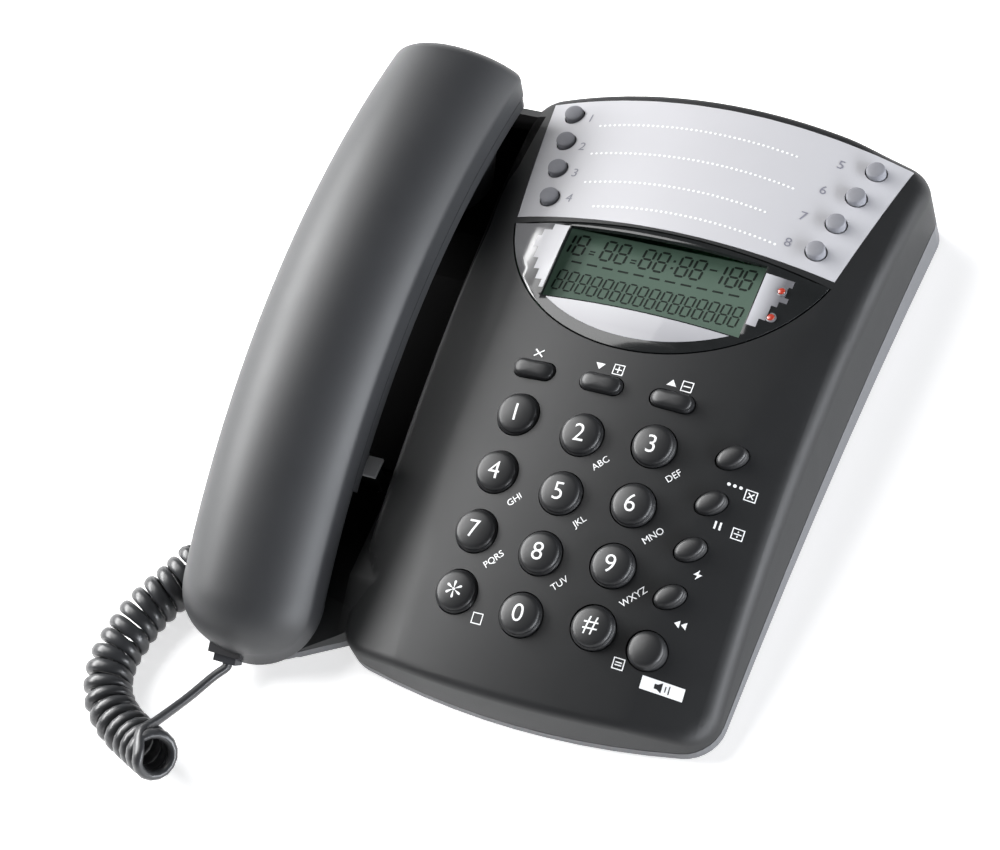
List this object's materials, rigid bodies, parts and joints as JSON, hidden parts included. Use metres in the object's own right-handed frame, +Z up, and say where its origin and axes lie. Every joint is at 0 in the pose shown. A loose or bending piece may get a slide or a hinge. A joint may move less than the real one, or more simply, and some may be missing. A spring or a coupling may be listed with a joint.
{
  "type": "caller display telephone",
  "caption": "Charcoal desk telephone with a bowed face, caller display, round keys, memory buttons, a lift-off handset in a side cradle and a curly cord.",
  "frame": {"origin": "Middle of the box of the phone and its handset, on the surface it stands on.", "axes": "+X to the right of the user, +Y from the user to the back of the phone, +Z up."},
  "size_m": [0.2024, 0.2537, 0.0692],
  "materials": {
    "body_plastic": "charcoal satin moulding with a fine grain",
    "handset_plastic": "charcoal satin moulding, smoother than the body",
    "key_plastic": "black, half gloss",
    "button_plastic": "mid grey satin",
    "silver_plate": "silver printed satin",
    "smoked_window": "dark gloss",
    "display": "grey green display",
    "white_plastic": "white moulding",
    "lamp": "red lamp",
    "board": "green printed board",
    "mat": "grey contact rubber",
    "rubber": "black rubber",
    "steel": "plain steel",
    "capsule": "dark metal can",
    "weight": "bare iron",
    "jack_plastic": "black moulding",
    "plug_plastic": "clear moulding",
    "cord": "charcoal, half gloss"
  },
  "bodies": {
    "base": {"top_housing": "body_plastic", "bottom_housing": "body_plastic", "rubber_feet": "rubber", "housing_screws": "steel", "label_plate": "silver_plate", "display_window": "smoked_window", "display_panel": "display", "panel_holder": "white_plastic", "call_lamps": "lamp", "display_board": "board", "memory_mat": "mat", "main_board": "board", "key_mat": "mat", "board_screws": "steel", "loudspeaker": "capsule", "hook_spring": "steel", "hook_switch": "jack_plastic", "line_jack": "jack_plastic", "base_jack": "jack_plastic", "cord_coil": "cord", "cord_lead": "cord", "cord_tail": "cord", "base_plug": "plug_plastic"},
    "handset": {"handset_upper_shell": "handset_plastic", "handset_lower_shell": "handset_plastic", "handset_screws": "steel", "receiver_capsule": "capsule", "microphone_capsule": "capsule", "handset_weight": "weight", "handset_jack": "jack_plastic", "handset_plug": "plug_plastic"},
    "hook": {"hook_plunger": "button_plastic"},
    "key_1": {"key_1": "key_plastic"},
    "key_2": {"key_2": "key_plastic"},
    "key_3": {"key_3": "key_plastic"},
    "key_4": {"key_4": "key_plastic"},
    "key_5": {"key_5": "key_plastic"},
    "key_6": {"key_6": "key_plastic"},
    "key_7": {"key_7": "key_plastic"},
    "key_8": {"key_8": "key_plastic"},
    "key_9": {"key_9": "key_plastic"},
    "key_star": {"key_star": "key_plastic"},
    "key_0": {"key_0": "key_plastic"},
    "key_hash": {"key_hash": "key_plastic"},
    "menu_key_1": {"menu_key_1": "key_plastic"},
    "menu_key_2": {"menu_key_2": "key_plastic"},
    "menu_key_3": {"menu_key_3": "key_plastic"},
    "oval_key_1": {"oval_key_1": "key_plastic"},
    "oval_key_2": {"oval_key_2": "key_plastic"},
    "oval_key_3": {"oval_key_3": "key_plastic"},
    "oval_key_4": {"oval_key_4": "key_plastic"},
    "speaker_key": {"speaker_key": "key_plastic"},
    "memory_button_1": {"memory_button_1": "button_plastic"},
    "memory_button_2": {"memory_button_2": "button_plastic"},
    "memory_button_3": {"memory_button_3": "button_plastic"},
    "memory_button_4": {"memory_button_4": "button_plastic"},
    "memory_button_5": {"memory_button_5": "button_plastic"},
    "memory_button_6": {"memory_button_6": "button_plastic"},
    "memory_button_7": {"memory_button_7": "button_plastic"},
    "memory_button_8": {"memory_button_8": "button_plastic"}
  },
  "joints": [
    {"name": "handset_lift", "type": "slide", "parent": "base", "child": "handset", "axis": [0, 0, 1], "range_m": [0, 0.06], "deforming": ["cord_coil", "cord_lead"]},
    {"name": "hook_rise", "type": "slide", "parent": "base", "child": "hook", "axis": [0, 0, 1], "range_m": [0, 0.003], "deforming": ["hook_spring"]},
    {"name": "key_1_press", "type": "slide", "parent": "base", "child": "key_1", "axis": [0, 0.2072, -0.9783], "range_m": [0, 0.0012], "stiffness_N_per_m": 600},
    {"name": "key_2_press", "type": "slide", "parent": "base", "child": "key_2", "axis": [0, 0.2072, -0.9783], "range_m": [0, 0.0012], "stiffness_N_per_m": 600},
    {"name": "key_3_press", "type": "slide", "parent": "base", "child": "key_3", "axis": [0, 0.2072, -0.9783], "range_m": [0, 0.0012], "stiffness_N_per_m": 600},
    {"name": "key_4_press", "type": "slide", "parent": "base", "child": "key_4", "axis": [0, 0.2072, -0.9783], "range_m": [0, 0.0012], "stiffness_N_per_m": 600},
    {"name": "key_5_press", "type": "slide", "parent": "base", "child": "key_5", "axis": [0, 0.2072, -0.9783], "range_m": [0, 0.0012], "stiffness_N_per_m": 600},
    {"name": "key_6_press", "type": "slide", "parent": "base", "child": "key_6", "axis": [0, 0.2072, -0.9783], "range_m": [0, 0.0012], "stiffness_N_per_m": 600},
    {"name": "key_7_press", "type": "slide", "parent": "base", "child": "key_7", "axis": [0, 0.2072, -0.9783], "range_m": [0, 0.0012], "stiffness_N_per_m": 600},
    {"name": "key_8_press", "type": "slide", "parent": "base", "child": "key_8", "axis": [0, 0.2072, -0.9783], "range_m": [0, 0.0012], "stiffness_N_per_m": 600},
    {"name": "key_9_press", "type": "slide", "parent": "base", "child": "key_9", "axis": [0, 0.2072, -0.9783], "range_m": [0, 0.0012], "stiffness_N_per_m": 600},
    {"name": "key_star_press", "type": "slide", "parent": "base", "child": "key_star", "axis": [0, 0.2072, -0.9783], "range_m": [0, 0.0012], "stiffness_N_per_m": 600},
    {"name": "key_0_press", "type": "slide", "parent": "base", "child": "key_0", "axis": [0, 0.2072, -0.9783], "range_m": [0, 0.0012], "stiffness_N_per_m": 600},
    {"name": "key_hash_press", "type": "slide", "parent": "base", "child": "key_hash", "axis": [0, 0.2072, -0.9783], "range_m": [0, 0.0012], "stiffness_N_per_m": 600},
    {"name": "menu_key_1_press", "type": "slide", "parent": "base", "child": "menu_key_1", "axis": [0, 0.2072, -0.9783], "range_m": [0, 0.0012], "stiffness_N_per_m": 600},
    {"name": "menu_key_2_press", "type": "slide", "parent": "base", "child": "menu_key_2", "axis": [0, 0.2072, -0.9783], "range_m": [0, 0.0012], "stiffness_N_per_m": 600},
    {"name": "menu_key_3_press", "type": "slide", "parent": "base", "child": "menu_key_3", "axis": [0, 0.2072, -0.9783], "range_m": [0, 0.0012], "stiffness_N_per_m": 600},
    {"name": "oval_key_1_press", "type": "slide", "parent": "base", "child": "oval_key_1", "axis": [0, 0.2072, -0.9783], "range_m": [0, 0.0012], "stiffness_N_per_m": 600},
    {"name": "oval_key_2_press", "type": "slide", "parent": "base", "child": "oval_key_2", "axis": [0, 0.2072, -0.9783], "range_m": [0, 0.0012], "stiffness_N_per_m": 600},
    {"name": "oval_key_3_press", "type": "slide", "parent": "base", "child": "oval_key_3", "axis": [0, 0.2072, -0.9783], "range_m": [0, 0.0012], "stiffness_N_per_m": 600},
    {"name": "oval_key_4_press", "type": "slide", "parent": "base", "child": "oval_key_4", "axis": [0, 0.2072, -0.9783], "range_m": [0, 0.0012], "stiffness_N_per_m": 600},
    {"name": "speaker_key_press", "type": "slide", "parent": "base", "child": "speaker_key", "axis": [0, 0.2072, -0.9783], "range_m": [0, 0.0012], "stiffness_N_per_m": 600},
    {"name": "memory_button_1_press", "type": "slide", "parent": "base", "child": "memory_button_1", "axis": [0, -0.0443, -0.999], "range_m": [0, 0.0012], "stiffness_N_per_m": 600},
    {"name": "memory_button_2_press", "type": "slide", "parent": "base", "child": "memory_button_2", "axis": [0, -0.0443, -0.999], "range_m": [0, 0.0012], "stiffness_N_per_m": 600},
    {"name": "memory_button_3_press", "type": "slide", "parent": "base", "child": "memory_button_3", "axis": [0, -0.0443, -0.999], "range_m": [0, 0.0012], "stiffness_N_per_m": 600},
    {"name": "memory_button_4_press", "type": "slide", "parent": "base", "child": "memory_button_4", "axis": [0, -0.0443, -0.999], "range_m": [0, 0.0012], "stiffness_N_per_m": 600},
    {"name": "memory_button_5_press", "type": "slide", "parent": "base", "child": "memory_button_5", "axis": [0, -0.0443, -0.999], "range_m": [0, 0.0012], "stiffness_N_per_m": 600},
    {"name": "memory_button_6_press", "type": "slide", "parent": "base", "child": "memory_button_6", "axis": [0, -0.0443, -0.999], "range_m": [0, 0.0012], "stiffness_N_per_m": 600},
    {"name": "memory_button_7_press", "type": "slide", "parent": "base", "child": "memory_button_7", "axis": [0, -0.0443, -0.999], "range_m": [0, 0.0012], "stiffness_N_per_m": 600},
    {"name": "memory_button_8_press", "type": "slide", "parent": "base", "child": "memory_button_8", "axis": [0, -0.0443, -0.999], "range_m": [0, 0.0012], "stiffness_N_per_m": 600}
  ],
  "couplings": [
    {"joint": "hook_rise", "follows": "handset_lift", "ratio": 0.05}
  ]
}
